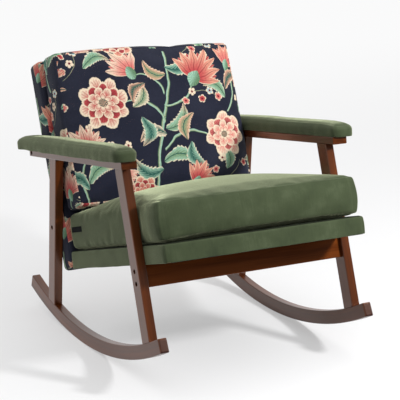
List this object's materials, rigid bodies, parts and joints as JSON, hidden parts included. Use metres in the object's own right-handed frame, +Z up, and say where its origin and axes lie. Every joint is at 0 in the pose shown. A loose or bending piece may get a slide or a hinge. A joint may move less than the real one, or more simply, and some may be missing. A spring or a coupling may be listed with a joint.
{
  "type": "upholstered rocking chair",
  "caption": "Rocking chair with arched runners, raked legs, padded arms, and loose seat and back cushions on an upholstered deck and panel.",
  "frame": {"origin": "on the floor midway between the two rockers, right below the centre of their arc, where the chair rests", "axes": "+Z up, -Y to the front of the chair, +X to the right seen from the front"},
  "size_m": [0.781, 0.9915, 0.8464],
  "materials": {
    "walnut": "satin stained hardwood",
    "green_velvet": "short-pile sage green velvet",
    "floral_fabric": "printed cotton, dark navy ground with coral, cream and sage flowers",
    "frame_timber": "bare sawn timber and plywood",
    "dowel_wood": "bare hardwood dowel",
    "foam": "open-cell polyurethane foam",
    "webbing": "woven elastic webbing",
    "dust_cloth": "black non-woven cloth",
    "black_steel": "black oxide steel",
    "zip_nylon": "nylon coil zip",
    "black_tape": "plain black woven tape"
  },
  "bodies": {
    "chair": {"back_bottom_rail": "frame_timber", "back_cover": "floral_fabric", "back_foam": "foam", "back_left_stile": "frame_timber", "back_right_stile": "frame_timber", "back_top_rail": "frame_timber", "back_webbing": "webbing", "deck_cover": "green_velvet", "deck_dust_cloth": "dust_cloth", "deck_foam": "foam", "deck_front_rail": "frame_timber", "deck_left_rail": "frame_timber", "deck_rear_rail": "frame_timber", "deck_right_rail": "frame_timber", "deck_webbing": "webbing", "front_rail": "walnut", "left_arm_bolt": "black_steel", "left_arm_pad_board": "frame_timber", "left_arm_pad_cover": "green_velvet", "left_arm_pad_foam": "foam", "left_arm_rail": "walnut", "left_back_foot_dowel": "dowel_wood", "left_back_leg": "walnut", "left_back_middle_bolt": "black_steel", "left_back_top_dowel": "dowel_wood", "left_front_foot_dowel": "dowel_wood", "left_front_leg": "walnut", "left_front_lower_bolt": "black_steel", "left_front_top_dowel": "dowel_wood", "left_front_upper_bolt": "black_steel", "left_rocker": "walnut", "right_arm_bolt": "black_steel", "right_arm_pad_board": "frame_timber", "right_arm_pad_cover": "green_velvet", "right_arm_pad_foam": "foam", "right_arm_rail": "walnut", "right_back_foot_dowel": "dowel_wood", "right_back_leg": "walnut", "right_back_middle_bolt": "black_steel", "right_back_top_dowel": "dowel_wood", "right_front_foot_dowel": "dowel_wood", "right_front_leg": "walnut", "right_front_lower_bolt": "black_steel", "right_front_top_dowel": "dowel_wood", "right_front_upper_bolt": "black_steel", "right_rocker": "walnut"},
    "seat_cushion": {"seat_cushion_core": "foam", "seat_cushion_cover": "green_velvet", "seat_cushion_tab": "black_tape", "seat_cushion_zip": "zip_nylon"},
    "back_cushion": {"back_cushion_core": "foam", "back_cushion_cover": "floral_fabric", "back_cushion_zip": "zip_nylon"}
  },
  "joints": [
    {"name": "seat_cushion_slide", "type": "slide", "parent": "chair", "child": "seat_cushion", "axis": [0, -0.9593, 0.2823], "range_m": [0, 0.7]},
    {"name": "back_cushion_lift", "type": "slide", "parent": "chair", "child": "back_cushion", "axis": [0, 0.3795, 0.9252], "range_m": [0, 0.5]}
  ]
}
